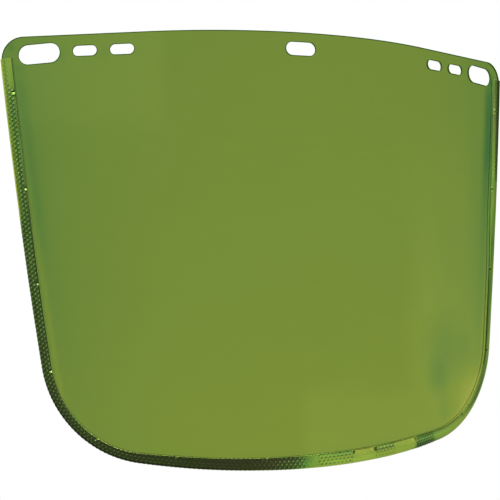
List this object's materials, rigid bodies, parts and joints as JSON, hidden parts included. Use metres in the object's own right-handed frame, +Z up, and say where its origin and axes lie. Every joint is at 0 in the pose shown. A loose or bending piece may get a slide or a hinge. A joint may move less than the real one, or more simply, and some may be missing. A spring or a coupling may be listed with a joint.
{
  "type": "face shield window",
  "caption": "Bowed green tinted face shield window with slots along its top edge and a folded, knurled aluminium channel round its sides and bottom.",
  "frame": {"origin": "middle of the sheet's top edge, half-way through its thickness, on the centre line", "axes": "+X towards the wearer's left, +Z up, the bulging front side faces -Y and the wearer is on the +Y side"},
  "size_m": [0.268, 0.0439, 0.2032],
  "materials": {
    "tinted_plastic": "clear olive green tint, polished on both faces, saw-cut edges",
    "knurled_aluminium": "bright rolled strip with a fine raised knurl on the flanges and small pressed barbs"
  },
  "bodies": {
    "root": {"window": "tinted_plastic", "edge_channel": "knurled_aluminium"}
  },
  "joints": []
}
